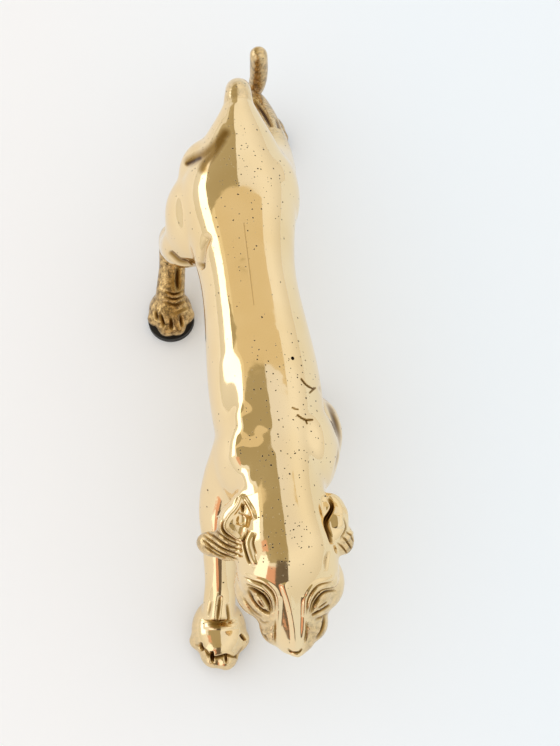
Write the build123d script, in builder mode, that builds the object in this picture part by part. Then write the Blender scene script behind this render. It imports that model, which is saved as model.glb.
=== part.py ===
from build123d import *
import math
import os

# Bonnet figure of a prowling big cat, built up from polished brass castings.
# Millimetres, +Z up, -Y forward (the way the cat walks), +X on the cat's left.

# stance of the figure
trunk_length = 150.0          # from the neck joint to the tail joint
neck_joint_y = -72.0
trunk_height = 58.0           # axis of the rib cage above the ground
wall = 3.0                    # thickness of the cast shells

# rubber pads under the paws and the threads above them
pad_diameter = 19.0
pad_thickness = 3.0
pad_hole_diameter = 6.6
stud_thread_diameter = 5.0    # tapping size of an M6 thread
stud_thread_depth = 9.0

# joints between the castings
spigot_diameter = 6.0
spigot_length = 8.0
neck_spigot_diameter = 14.0
neck_spigot_length = 10.0
tail_tenon_diameter = 5.0
tail_tenon_length = 8.0
joint_clearance = 0.05        # radial gap that the braze fills
socket_end_gap = 0.5

# pins across the seam of the two shells
dowel_diameter = 3.0
dowel_length = 9.0
dowel_boss_diameter = 8.0
boss_sunk_in_wall = 2.0

# plugs in the holes that the core pins left
plug_diameter = 1.6

# trunk sections: share of the trunk length, centre x, rise over the rib-cage axis,
# half width, half height
trunk_sections = [
    (0.00, 0.5, 1.0, 15.5, 17.5),
    (0.08, 0.5, -1.0, 19.0, 21.0),
    (0.18, 0.5, -2.0, 21.0, 23.0),
    (0.31, 0.0, -1.5, 20.0, 20.0),
    (0.41, 0.0, 0.0, 18.5, 18.5),
    (0.55, -0.5, 2.0, 17.0, 16.5),
    (0.67, -1.0, 3.0, 20.0, 18.0),
    (0.78, -1.0, 4.0, 24.0, 21.0),
    (0.87, 0.0, 4.0, 21.0, 20.0),
    (0.95, 2.0, 5.0, 15.0, 15.0),
    (1.00, 3.0, 10.0, 7.0, 8.0),
]
cavity_start = 0.12
cavity_end = 0.90

# head sections: distance in front of the neck joint, then as above
head_sections = [
    (0.0, 0.5, 1.0, 15.5, 17.5),
    (8.0, 0.5, 3.0, 16.0, 17.0),
    (16.0, 0.7, 2.0, 17.5, 17.0),
    (25.0, 0.7, -3.0, 18.5, 16.5),
    (33.0, 0.7, -9.0, 17.5, 14.0),
    (40.0, 0.6, -14.5, 14.5, 11.5),
    (46.0, 0.6, -18.0, 10.5, 8.5),
    (49.5, 0.6, -19.5, 5.0, 5.0),
]


def along(share):
    return neck_joint_y + share * trunk_length


shoulder_y = along(0.10)
hip_y = along(0.78)
tail_joint_y = along(1.0)

# limbs: x, y, height above the ground, radius; the joint lies on the run that starts
# at the numbered point, this share of the way along it
limbs = {
    "right_front_leg": {
        "points": [
            (-15.0, shoulder_y - 1.0, trunk_height - 6.0, 12.0),
            (-20.0, shoulder_y - 9.0, 42.0, 8.5),
            (-21.5, shoulder_y - 21.0, 30.0, 6.8),
            (-22.5, shoulder_y - 33.0, 18.0, 5.8),
            (-25.0, shoulder_y - 46.0, 10.0, 6.0),
        ],
        "joint_run": 1, "joint_share": 0.4,
        "paw": (-26.0, shoulder_y - 50.0), "paw_size": (10.8, 12.5, 9.0), "toe": 4.4,
        "side": -1,
    },
    "left_front_leg": {
        "points": [
            (15.0, shoulder_y - 1.0, trunk_height - 8.0, 12.0),
            (19.5, shoulder_y + 15.0, 42.0, 8.5),
            (19.0, shoulder_y + 24.0, 31.0, 6.8),
            (16.0, shoulder_y + 31.0, 18.0, 5.8),
            (14.5, shoulder_y + 35.0, 10.0, 6.0),
        ],
        "joint_run": 1, "joint_share": 0.85,
        "paw": (14.0, shoulder_y + 33.0), "paw_size": (10.8, 12.5, 9.0), "toe": 4.4,
        "side": 1,
    },
    "right_rear_leg": {
        "points": [
            (-13.0, hip_y, trunk_height + 2.0, 16.0),
            (-21.0, hip_y - 10.0, 48.0, 12.0),
            (-26.0, hip_y - 5.0, 36.0, 8.0),
            (-27.5, hip_y + 3.0, 27.0, 5.8),
            (-30.0, hip_y - 5.0, 17.0, 5.3),
            (-32.5, hip_y - 18.0, 10.0, 6.0),
        ],
        "joint_run": 2, "joint_share": 0.35,
        "paw": (-33.0, hip_y - 20.0), "paw_size": (9.2, 10.5, 8.5), "toe": 3.7,
        "side": -1,
    },
    "left_rear_leg": {
        "points": [
            (12.0, hip_y + 5.0, trunk_height + 2.0, 15.0),
            (17.5, hip_y + 23.0, 46.0, 10.0),
            (15.5, hip_y + 45.0, 37.0, 6.0),
            (11.5, hip_y + 61.5, 30.0, 4.8),
            (15.0, hip_y + 61.0, 15.0, 4.6),
            (16.0, hip_y + 60.0, 10.0, 5.5),
        ],
        "joint_run": 1, "joint_share": 0.5,
        "paw": (16.3, hip_y + 59.5), "paw_size": (9.2, 10.5, 8.5), "toe": 3.7,
        "side": 1,
    },
}
pad_set_back = {
    "right_front_leg": 0.5,
    "left_front_leg": 0.5,
    "right_rear_leg": -1.5,
    "left_rear_leg": -1.5,
}

# tail: x, y, height, radius; it leaves the rump and passes behind the left hock
tail_joint_height = trunk_height + 10.0
hock_y = hip_y + 61.5
tail_points = [
    (3.0, tail_joint_y - 1.0, tail_joint_height, 5.6),
    (4.0, tail_joint_y + 5.5, tail_joint_height + 1.0, 4.9),
    (4.3, tail_joint_y + 11.0, tail_joint_height - 8.0, 4.6),
    (4.0, tail_joint_y + 15.0, tail_joint_height - 23.0, 4.4),
    (3.2, hock_y - 7.5, 30.0, 4.2),
    (3.2, hock_y + 0.5, 21.0, 4.0),
    (9.0, hock_y + 9.5, 18.0, 3.9),
    (13.5, hock_y + 13.5, 22.0, 3.8),
    (15.5, hock_y + 15.5, 34.0, 3.7),
    (15.5, hock_y + 14.5, 47.0, 3.6),
]

# ears: x, distance in front of the neck joint, rise over the rib-cage axis, radius
ears = [
    (-20.0, 10.0, 3.0, 6.5),
    (-22.5, 13.5, 1.0, 4.5),
    (21.0, 11.0, 3.0, 6.5),
    (24.0, 14.5, 1.0, 4.5),
]


def cross_plane(x, y, z):
    return Plane(origin=(x, y, z), x_dir=(1, 0, 0), z_dir=(0, -1, 0))


def trunk_form(start, end, inset):
    # the trunk between two shares of its length, a given inset inside its skin
    with BuildPart() as form:
        for share, x, rise, half_width, half_height in trunk_sections:
            if start <= share <= end:
                with BuildSketch(cross_plane(x, along(share), trunk_height + rise)):
                    Ellipse(half_width - inset, half_height - inset)
        loft()
    return form.part


def rod(start, end, start_radius, end_radius):
    # a straight tapered run with a ball at each end
    run = Vector(*end) - Vector(*start)
    with BuildPart() as piece:
        with Locations(start):
            Sphere(start_radius)
        with Locations(end):
            Sphere(end_radius)
        with BuildSketch(Plane(origin=start, z_dir=run)):
            Circle(start_radius)
        with BuildSketch(Plane(origin=end, z_dir=run)):
            Circle(end_radius)
        loft()
    return piece.part


def chain(points):
    with BuildPart() as piece:
        for first, second in zip(points, points[1:]):
            add(rod(first[:3], second[:3], first[3], second[3]))
    return piece.part


def pin(plane, diameter, start, end):
    # a round bar along the plane's normal
    with BuildPart() as bar:
        with BuildSketch(plane.offset(start)):
            Circle(diameter / 2)
        extrude(amount=end - start)
    return bar.part


def joint_plane(limb):
    # origin on the joint face, normal pointing up the limb into the shell
    first = Vector(*limb["points"][limb["joint_run"]][:3])
    second = Vector(*limb["points"][limb["joint_run"] + 1][:3])
    middle = first + (second - first) * limb["joint_share"]
    return Plane(origin=middle, z_dir=first - second)


def upper_limb(limb):
    points = limb["points"][:limb["joint_run"] + 2]
    with BuildPart() as piece:
        add(chain(points))
        split(bisect_by=joint_plane(limb), keep=Keep.TOP)
    return piece.part


def pad_centre(name):
    x, y = limbs[name]["paw"]
    return (x, y + pad_set_back[name])


def toe_centres(limb):
    # four toes on an arc round the front of the paw
    x, y = limb["paw"]
    across, length, _ = limb["paw_size"]
    for bearing in (-66, -24, 24, 66):
        angle = math.radians(bearing)
        yield (
            x + (across - limb["toe"]) * math.sin(angle),
            y - (length - limb["toe"]) * math.cos(angle),
            pad_thickness + limb["toe"] * 0.8,
        )


def paw_form(limb):
    across, length, height = limb["paw_size"]
    with BuildPart() as paw:
        Sphere(1)
        scale(by=(across - 0.6, length - 0.6, height))
    form = Location((*limb["paw"], pad_thickness + height * 0.35)) * paw.part
    with BuildPart() as piece:
        add(form)
        with Locations(*toe_centres(limb)):
            Sphere(limb["toe"])
    return piece.part


# trunk, hips and shoulders with the stubs of the limbs, before it is hollowed
with BuildPart() as figure_blank:
    add(trunk_form(0, 1, 0))
    for limb in limbs.values():
        add(upper_limb(limb))

# the hollow, the sockets and the holes of the seam dowels
neck_plane = cross_plane(0.5, neck_joint_y, trunk_height + 1.0)
tail_plane = Plane(
    origin=(tail_points[0][0], tail_joint_y, tail_joint_height), z_dir=(0, -1, 0)
)
_, _, waist_rise, _, waist_half_height = trunk_sections[5]
_, _, rib_rise, _, rib_half_height = trunk_sections[3]
boss_depth = wall + dowel_boss_diameter / 2 - boss_sunk_in_wall
dowel_places = [
    (along(0.95), trunk_height + 1.0),
    (along(trunk_sections[5][0]), trunk_height + waist_rise + waist_half_height - boss_depth),
    (along(trunk_sections[3][0]), trunk_height + rib_rise - rib_half_height + boss_depth),
    (along(0.09), trunk_height - 14.0),
]
dowel_bars = []
dowel_bosses = []
for y, z in dowel_places:
    centre_plane = Plane(origin=(0, y, z), z_dir=(1, 0, 0))
    dowel_bars.append(pin(centre_plane, dowel_diameter, -dowel_length / 2, dowel_length / 2))
    boss_reach = dowel_length / 2 + wall
    dowel_bosses.append(pin(centre_plane, dowel_boss_diameter, -boss_reach, boss_reach))

with BuildPart() as shell_pair:
    add(figure_blank.part)
    add(trunk_form(cavity_start, cavity_end, wall), mode=Mode.SUBTRACT)
    for boss in dowel_bosses[1:3]:
        add(boss)
    add(figure_blank.part, mode=Mode.INTERSECT)
    for limb in limbs.values():
        socket = pin(
            joint_plane(limb), spigot_diameter + 2 * joint_clearance,
            0, spigot_length + socket_end_gap,
        )
        add(socket, mode=Mode.SUBTRACT)
    neck_socket = pin(
        neck_plane, neck_spigot_diameter + 2 * joint_clearance,
        -neck_spigot_length - socket_end_gap, 0,
    )
    add(neck_socket, mode=Mode.SUBTRACT)
    tail_socket = pin(
        tail_plane, tail_tenon_diameter + 2 * joint_clearance,
        0, tail_tenon_length + socket_end_gap,
    )
    add(tail_socket, mode=Mode.SUBTRACT)
    for bar in dowel_bars:
        add(bar, mode=Mode.SUBTRACT)

# plugs: a plane on the skin with its normal pointing out
plug_planes = []
for share, side_angle in ((0.33, 62.0), (0.41, -78.0), (0.31, -104.0)):
    section = min(trunk_sections, key=lambda row: abs(row[0] - share))
    _, x, rise, half_width, half_height = section
    angle = math.radians(side_angle)
    outward = Vector(math.cos(angle) / half_width, 0, math.sin(angle) / half_height)
    skin = (
        x + half_width * math.cos(angle),
        along(section[0]) + 4.0,
        trunk_height + rise + half_height * math.sin(angle),
    )
    plug_planes.append(Plane(origin=skin, z_dir=outward))

with BuildPart() as core_plugs:
    for plane in plug_planes:
        add(pin(plane, plug_diameter, -wall - 1.0, 1.0))
    add(shell_pair.part, mode=Mode.INTERSECT)
core_plugs.part.label = "core_plugs"

pieces = {"core_plugs": core_plugs.part}

for name, side in (("body_shell_right", Keep.BOTTOM), ("body_shell_left", Keep.TOP)):
    with BuildPart() as shell:
        add(shell_pair.part)
        add(core_plugs.part, mode=Mode.SUBTRACT)
        split(bisect_by=Plane.YZ, keep=side)
    pieces[name] = shell.part

with BuildPart() as seam_dowels:
    for bar in dowel_bars:
        add(bar)
pieces["seam_dowels"] = seam_dowels.part

# head with its ears and the spigot into the neck
with BuildPart() as head:
    for reach, x, rise, half_width, half_height in head_sections:
        with BuildSketch(cross_plane(x, neck_joint_y - reach, trunk_height + rise)):
            Ellipse(half_width, half_height)
    loft()
    for x, reach, rise, radius in ears:
        with Locations((x, neck_joint_y - reach, trunk_height + rise)):
            Sphere(radius)
    add(pin(neck_plane, neck_spigot_diameter, -neck_spigot_length, 0))
pieces["head"] = head.part

# legs with their paws, spigots and tapped holes, and the rubber pads below them
for name, limb in limbs.items():
    x, y = pad_centre(name)
    pad_top = Plane.XY.offset(pad_thickness)
    hole_plane = Plane(origin=(x, y, pad_thickness), z_dir=(0, 0, 1))
    with BuildPart() as leg:
        add(chain(limb["points"][limb["joint_run"]:]))
        split(bisect_by=joint_plane(limb), keep=Keep.BOTTOM)
        add(paw_form(limb))
        split(bisect_by=pad_top, keep=Keep.TOP)
        add(figure_blank.part, mode=Mode.SUBTRACT)
        add(pin(joint_plane(limb), spigot_diameter, 0, spigot_length))
        add(pin(hole_plane, stud_thread_diameter, 0, stud_thread_depth), mode=Mode.SUBTRACT)
    pieces[name] = leg.part

    with BuildPart() as pad:
        with BuildSketch(Plane(origin=(x, y, 0), z_dir=(0, 0, 1))):
            Circle(pad_diameter / 2)
            Circle(pad_hole_diameter / 2, mode=Mode.SUBTRACT)
        extrude(amount=pad_thickness)
    pieces[name.replace("_leg", "_pad")] = pad.part

# tail with the tenon into the rump
with BuildPart() as tail:
    add(chain(tail_points))
    split(bisect_by=tail_plane, keep=Keep.BOTTOM)
    add(pin(tail_plane, tail_tenon_diameter, 0, tail_tenon_length))
pieces["tail"] = tail.part

# origin under the middle of the figure, on the ground
extent = Compound(children=[piece.moved(Location()) for piece in pieces.values()]).bounding_box()
middle = Location((-(extent.min.X + extent.max.X) / 2, -(extent.min.Y + extent.max.Y) / 2, 0))

os.makedirs("parts", exist_ok=True)
for name, piece in pieces.items():
    placed = piece.moved(middle)
    placed.label = name
    export_step(placed, f"parts/{name}.step")
    print(name, len(placed.solids()), round(placed.volume))
print("length, width, height", extent.size.Y, extent.size.X, extent.size.Z)
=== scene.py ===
import math

import bpy
import numpy as np
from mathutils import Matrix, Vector


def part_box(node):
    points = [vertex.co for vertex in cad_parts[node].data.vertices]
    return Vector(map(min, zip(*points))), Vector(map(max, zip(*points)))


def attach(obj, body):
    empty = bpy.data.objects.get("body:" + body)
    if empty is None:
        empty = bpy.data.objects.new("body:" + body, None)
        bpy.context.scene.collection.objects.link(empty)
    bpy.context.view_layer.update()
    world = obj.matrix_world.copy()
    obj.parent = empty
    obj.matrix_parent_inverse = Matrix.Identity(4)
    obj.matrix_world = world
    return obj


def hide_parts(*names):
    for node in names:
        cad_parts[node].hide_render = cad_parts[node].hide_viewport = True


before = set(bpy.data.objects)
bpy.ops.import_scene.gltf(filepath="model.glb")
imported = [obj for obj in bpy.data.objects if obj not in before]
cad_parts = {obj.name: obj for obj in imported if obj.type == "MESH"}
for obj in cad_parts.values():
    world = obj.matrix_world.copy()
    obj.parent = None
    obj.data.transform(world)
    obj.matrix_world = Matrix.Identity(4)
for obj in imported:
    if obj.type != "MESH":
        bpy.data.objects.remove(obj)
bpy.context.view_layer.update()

mm = 0.001
fine = 0.5  # voxel of the wax model, mm

# the right rear pad is the stake that the whole figure is measured from
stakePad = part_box("right_rear_pad")
stakePlace = (-33.0, 23.5)
homeX = (stakePad[0][0] + stakePad[1][0]) / 2 - stakePlace[0] * mm
homeY = (stakePad[0][1] + stakePad[1][1]) / 2 - stakePlace[1] * mm
padTop = stakePad[1][2] / mm


def at(x, y, z):
    return Vector((homeX + x * mm, homeY + y * mm, z * mm))


def pickNothing():
    if bpy.context.mode != "OBJECT":
        bpy.ops.object.mode_set(mode="OBJECT")
    bpy.ops.object.select_all(action="DESELECT")


def pickOnly(*things):
    pickNothing()
    for thing in things:
        thing.select_set(True)
    bpy.context.view_layer.objects.active = things[0]


def joinAll(things, name):
    pickOnly(*things)
    bpy.ops.object.join()
    whole = bpy.context.view_layer.objects.active
    whole.name = name
    whole.data.name = name
    bpy.ops.object.transform_apply(location=True, rotation=True, scale=True)
    return whole


def useModifier(piece, kind, **settings):
    pickOnly(piece)
    step = piece.modifiers.new(kind.lower(), kind)
    for key, value in settings.items():
        setattr(step, key, value)
    bpy.ops.object.modifier_apply(modifier=step.name)


def pointsOf(piece):
    # places and normals of the vertices, in mm from home
    mesh = piece.data
    place = np.empty(len(mesh.vertices) * 3)
    mesh.vertices.foreach_get("co", place)
    place = place.reshape(-1, 3) / mm - np.array([homeX, homeY, 0]) / mm
    facing = np.empty(len(mesh.vertices) * 3)
    mesh.vertex_normals.foreach_get("vector", facing)
    return place, facing.reshape(-1, 3)


def putPoints(piece, place):
    flat = (place * mm + np.array([homeX, homeY, 0])).ravel()
    piece.data.vertices.foreach_set("co", flat)
    piece.data.update()


def layerOf(piece, name):
    mesh = piece.data
    if name not in mesh.attributes:
        mesh.attributes.new(name, "FLOAT", "POINT")
    values = np.empty(len(mesh.vertices))
    mesh.attributes[name].data.foreach_get("value", values)
    return values


def putLayer(piece, name, values):
    layerOf(piece, name)
    piece.data.attributes[name].data.foreach_set("value", np.clip(values, 0, 1))


# the sculptor and the camera stand above and in front: a and b are mm across and up from the nose
eye = np.array([-10.0, -160.0, 429.2])
lookSide, lookUp = math.radians(-7.0), math.radians(70.0)
forward = -np.array([
    math.sin(lookSide) * math.cos(lookUp), -math.cos(lookSide) * math.cos(lookUp), math.sin(lookUp)])
right = np.array([math.cos(lookSide), math.sin(lookSide), 0.0])
upward = np.cross(right, forward)
noseDepth = 381.0  # mm from the eye
noseAcross = (5.8, -96.7)


def sketched(place):
    away = place - eye
    depth = away @ forward
    across = (away @ right) / depth * noseDepth - noseAcross[0]
    up = (away @ upward) / depth * noseDepth - noseAcross[1]
    return np.stack([across, up], 1)


def lineGap(spots, line):
    # distance of each spot to a line of points, and how far along it the nearest point is
    line = [np.array(p, float) for p in line]
    best = np.full(len(spots), 1e9)
    share = np.zeros(len(spots))
    count = max(len(line) - 1, 1)
    if len(line) == 1:
        return np.linalg.norm(spots - line[0], axis=1), share
    for k in range(count):
        a, b = line[k], line[k + 1]
        run = b - a
        t = np.clip((spots - a) @ run / (run @ run), 0, 1)
        gap = np.linalg.norm(spots - (a + t[:, None] * run), axis=1)
        near = gap < best
        best[near] = gap[near]
        share[near] = (k + t[near]) / count
    return best, share


def smoothLine(line, steps=6):
    # a soft curve through given points
    pts = [np.array(p, float) for p in line]
    if len(pts) < 3:
        return pts
    pts = [2 * pts[0] - pts[1]] + pts + [2 * pts[-1] - pts[-2]]
    out = []
    for k in range(1, len(pts) - 2):
        p0, p1, p2, p3 = pts[k - 1:k + 3]
        for s in range(steps):
            t = s / steps
            out.append(0.5 * (2 * p1 + (p2 - p0) * t + (2 * p0 - 5 * p1 + 4 * p2 - p3) * t ** 2
                              + (3 * p1 - p0 - 3 * p2 + p3) * t ** 3))
    out.append(pts[-2])
    return out


def stroke(work, line, width, depth, patinaPaintedShadeAndReflection=0.0, taper=False, solid=False, limit=None):
    # work holds place, facing and the patina with painted shade and reflection; depth above 0 raises, below 0
    # cuts
    spots = work["place"] if solid else work["sketch"]
    gap, share = lineGap(spots, smoothLine(line))
    weight = np.clip(1 - (gap / width) ** 2, 0, 1) ** 2
    if taper:
        weight = weight * np.clip(4 * share * (1 - share), 0, 1) ** 0.5
    if not solid:
        weight = weight * np.clip(work["seen"] * 3, 0, 1)
    if limit is not None:
        weight = weight * limit
    work["move"] += depth * weight
    work["patinaPaintedShadeAndReflection"] = np.maximum(work["patinaPaintedShadeAndReflection"], patinaPaintedShadeAndReflection * weight)


def startWork(piece):
    place, facing = pointsOf(piece)
    away = eye - place
    away /= np.linalg.norm(away, axis=1)[:, None]
    return {
        "place": place, "facing": facing, "sketch": sketched(place),
        "seen": np.sum(facing * away, 1), "move": np.zeros(len(place)),
        "patinaPaintedShadeAndReflection": layerOf(piece, "patinaPaintedShadeAndReflection")}


def endWork(piece, work):
    putPoints(piece, work["place"] + work["facing"] * work["move"][:, None])
    putLayer(piece, "patinaPaintedShadeAndReflection", work["patinaPaintedShadeAndReflection"])


trunk = {  # y, middle x, middle z, half width, half height
    "rings": [
        (81.0, 3.6, 68.4, 5.4, 5.6), (77.0, 3.2, 67.6, 6.6, 7.2), (70.0, 2.2, 63.6, 11.5, 13.5),
        (60.0, 0.5, 60.4, 17.5, 18.4), (46.0, -1.0, 61.2, 23.5, 20.8), (30.0, -1.2, 61.9, 20.5, 19.9),
        (12.0, -0.8, 61.4, 16.8, 18.0), (-6.0, 0.0, 59.2, 18.2, 18.0), (-24.0, 0.3, 57.9, 20.2, 20.5),
        (-42.0, 0.6, 55.0, 20.3, 21.8), (-58.0, 0.6, 55.2, 17.6, 20.8), (-70.0, 0.6, 57.8, 15.8, 17.8),
        (-80.0, 0.6, 59.4, 15.8, 16.6), (-88.0, 0.7, 59.0, 17.0, 16.4), (-96.0, 0.8, 55.2, 17.8, 15.8),
        (-104.0, 0.8, 49.5, 15.4, 13.6), (-111.0, 0.8, 44.0, 11.4, 10.6), (-117.0, 0.7, 40.5, 7.4, 7.2),
        (-121.5, 0.7, 38.6, 4.2, 3.8)],
    "sides": 28,
}

muscles = [  # middle, half sizes, turn in degrees
    ((-13.6, 40.5, 54.5), (15.4, 19.0, 17.0), (0, 0, 0)),      # right haunch
    ((-8.6, 55.0, 59.0), (13.6, 15.0, 14.5), (0, 0, 0)),
    ((-16.8, 38.0, 52.0), (12.5, 14.5, 15.0), (25, 0, 6)),
    ((9.4, 45.0, 58.5), (13.2, 19.5, 18.5), (0, 0, 0)),        # left haunch
    ((10.4, 54.0, 54.0), (9.8, 14.0, 12.5), (-25, 0, -4)),
    ((-10.0, -55.0, 53.5), (11.0, 16.0, 20.0), (10, 0, 0)),     # right shoulder
    ((11.8, -53.0, 52.0), (11.8, 17.0, 19.0), (-10, 0, 0)),    # left shoulder
    ((-9.4, -98.0, 47.5), (8.8, 10.5, 9.0), (0, 0, 0)),        # cheeks
    ((11.0, -98.6, 47.0), (8.8, 10.5, 9.0), (0, 0, 0)),
    ((-4.8, -110.6, 41.5), (6.4, 7.4, 7.0), (0, 0, 0)),        # muzzle
    ((6.4, -110.6, 41.5), (6.4, 7.4, 7.0), (0, 0, 0)),
    ((0.8, -109.5, 35.0), (7.0, 8.0, 6.0), (0, 0, 0)),         # chin
    ((0.8, -117.5, 40.0), (3.8, 5.0, 4.4), (0, 0, 0)),         # nose
]

limbs = {
    "right_front_leg": {
        "line": [(-11.0, -54.0, 58.0, 10.0), (-15.4, -59.5, 50.0, 9.4), (-19.6, -66.5, 41.5, 7.9),
                 (-21.6, -78.0, 30.0, 6.6), (-23.4, -90.0, 19.0, 5.8), (-25.4, -100.0, 12.0, 6.2)],
        "joint": ((-20.0, -66.0, 42.0), (-21.5, -78.0, 30.0), 0.4),
        "paw": (-26.2, -105.6), "pawSize": (10.3, 12.2, 10.6), "toe": 4.6,
        "toes": [(-72, 0.86), (-30, 1.0), (16, 1.04), (62, 0.96)],
    },
    "left_front_leg": {
        "line": [(13.0, -55.0, 54.0, 11.0), (17.4, -48.5, 47.0, 8.8), (19.2, -41.5, 41.0, 7.5),
                 (19.0, -34.0, 31.0, 6.6), (16.5, -26.5, 19.0, 5.8), (14.8, -23.0, 12.0, 6.2)],
        "joint": ((19.5, -42.0, 42.0), (19.0, -33.0, 31.0), 0.85),
        "paw": (14.0, -24.0), "pawSize": (10.8, 12.0, 10.4), "toe": 4.8,
        "toes": [(-66, 0.95), (-24, 1.0), (24, 1.0), (66, 0.95)],
    },
    "right_rear_leg": {
        "line": [(-13.0, 44.0, 55.0, 13.0), (-20.2, 36.0, 47.5, 10.4), (-25.6, 39.6, 36.0, 7.6),
                 (-27.4, 47.0, 27.0, 6.0), (-29.6, 40.0, 17.5, 5.4), (-32.0, 30.0, 11.0, 6.0)],
        "joint": ((-26.0, 40.0, 36.0), (-27.5, 48.0, 27.0), 0.35),
        "paw": (-32.7, 25.6), "pawSize": (9.0, 9.6, 8.8), "toe": 3.8,
        "toes": [(-66, 0.95), (-24, 1.0), (24, 1.0), (66, 0.95)],
    },
    "left_rear_leg": {
        "line": [(10.0, 50.0, 59.0, 12.5), (14.8, 66.0, 46.5, 8.6), (15.0, 84.0, 39.0, 6.2),
                 (13.6, 98.0, 33.5, 4.9), (11.5, 106.0, 29.5, 4.5), (13.6, 107.2, 20.0, 4.2),
                 (15.6, 105.0, 11.5, 5.2)],
        "joint": ((17.5, 68.0, 46.0), (15.5, 90.0, 37.0), 0.5), "blade": 15.0,
        "paw": (16.4, 104.0), "pawSize": (8.6, 9.6, 8.4), "toe": 3.8,
        "toes": [(-66, 0.95), (-24, 1.0), (24, 1.0), (66, 0.95)],
    },
}

tail = {
    "line": [(3.2, 76.0, 67.5, 6.2), (4.0, 84.2, 68.4, 5.1), (4.3, 89.5, 60.0, 4.8), (4.0, 93.0, 46.0, 4.4),
             (3.0, 99.0, 31.0, 3.9), (3.2, 106.5, 20.5, 3.6), (8.2, 114.8, 16.4, 3.5),
             (12.8, 118.4, 19.0, 3.6), (14.7, 118.4, 26.0, 3.8), (15.3, 118.6, 34.0, 3.9),
             (15.3, 118.4, 43.2, 3.8)],
    "joint": (3.0, 78.0, 68.0), "blade": 12.0,
}
neck = {"joint": (0.5, -72.0, 59.0), "bladeWide": 27.0, "bladeHigh": 22.0, "nose": (0.7, -119.0, 38.0)}

ears = [  # middle, half sizes, turn
    ((-12.6, -73.8, 67.0), (3.4, 5.4, 4.6), (0, -20, -16)),
    ((-15.6, -79.0, 64.4), (5.8, 7.8, 5.6), (16, -28, -22)),
    ((-18.6, -84.6, 60.4), (6.0, 6.0, 4.8), (24, -30, -30)),
    ((-23.4, -83.6, 57.0), (6.2, 4.4, 4.6), (0, -10, -24)),
    ((17.6, -81.0, 62.5), (5.2, 9.0, 5.4), (20, 24, 8)),
    ((19.6, -87.0, 58.0), (4.6, 6.0, 4.4), (20, 24, 16)),
]


def addBall(middle, halves, turn):
    bpy.ops.mesh.primitive_uv_sphere_add(
        segments=40, ring_count=24, radius=mm, location=at(*middle), scale=halves,
        rotation=[math.radians(v) for v in turn])
    return bpy.context.view_layer.objects.active


def addTrunk():
    # a disc drawn out ring by ring from the tail end to the nose
    y, x, z, wide, high = trunk["rings"][0]
    bpy.ops.mesh.primitive_circle_add(
        vertices=trunk["sides"], radius=mm, fill_type="NGON", location=at(x, y, z),
        rotation=(math.radians(90), 0, 0))
    body = bpy.context.view_layer.objects.active
    bpy.ops.object.transform_apply(location=True, rotation=True, scale=True)
    bpy.ops.object.mode_set(mode="EDIT")
    bpy.ops.mesh.select_all(action="SELECT")
    bpy.ops.transform.resize(value=(wide, 1, high), center_override=at(x, y, z))
    last = trunk["rings"][0]
    for ring in trunk["rings"][1:]:
        step = at(ring[1], ring[0], ring[2]) - at(last[1], last[0], last[2])
        bpy.ops.mesh.extrude_region_move(TRANSFORM_OT_translate={"value": step})
        bpy.ops.transform.resize(
            value=(ring[3] / last[3], 1, ring[4] / last[4]), center_override=at(ring[1], ring[0], ring[2]))
        last = ring
    bpy.ops.mesh.select_all(action="SELECT")
    bpy.ops.mesh.normals_make_consistent(inside=False)
    bpy.ops.object.mode_set(mode="OBJECT")
    useModifier(body, "SUBSURF", levels=2, render_levels=2)
    return body


def addTube(line, name):
    bpy.ops.curve.primitive_bezier_curve_add(location=(0, 0, 0))
    tube = bpy.context.view_layer.objects.active
    tube.name = name
    spline = tube.data.splines[0]
    spline.bezier_points.add(len(line) - 2)
    for knot, (x, y, z, radius) in zip(spline.bezier_points, line):
        knot.co = at(x, y, z)
        knot.radius = radius
        knot.handle_left_type = knot.handle_right_type = "AUTO"
    tube.data.bevel_depth = mm
    tube.data.bevel_resolution = 10
    tube.data.resolution_u = 10
    tube.data.use_fill_caps = True
    pickOnly(tube)
    bpy.ops.object.convert(target="MESH")
    ends = [addBall(end[:3], (end[3],) * 3, (0, 0, 0)) for end in (line[0], line[-1])]
    return [bpy.data.objects[name]] + ends


def addPaw(limb):
    x, y = limb["paw"]
    wide, long, high = limb["pawSize"]
    forms = [addBall((x, y, padTop + 0.32 * high), (wide, long, high * 0.92), (0, 0, 0))]
    for bearing, size in limb["toes"]:
        turn = math.radians(bearing)
        r = limb["toe"] * size
        px = x + (wide - r * 0.72) * math.sin(turn)
        py = y - (long - r * 0.45) * math.cos(turn)
        forms.append(addBall((px, py, padTop + r * 0.82), (r * 0.92, r * 1.15, r), (0, 0, -bearing)))
    return forms


def flatSole(whole):
    # the paws stand flat on their pads
    place, _ = pointsOf(whole)
    low = place[:, 2] < padTop
    place[low, 2] = padTop
    putPoints(whole, place)


forms = [addTrunk()]
for middle, halves, turn in muscles + ears:
    forms.append(addBall(middle, halves, turn))
for name, limb in limbs.items():
    forms += addTube(limb["line"], name + "Wax")
    forms += addPaw(limb)
forms += addTube(tail["line"], "tailWax")
wax = joinAll(forms, "wax")
useModifier(wax, "REMESH", mode="VOXEL", voxel_size=fine * mm)
print("wax model", len(wax.data.vertices))

softening = {  # from where, over what distance (mm), and the least softness left
    "paw": (11.0, 9.0, 0.16), "limb": (7.5, 8.0, 0.22), "head": (74.0, 16.0, 0.38),
    "passes": 78, "push": 0.6, "lastPush": 0.5,
}

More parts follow.
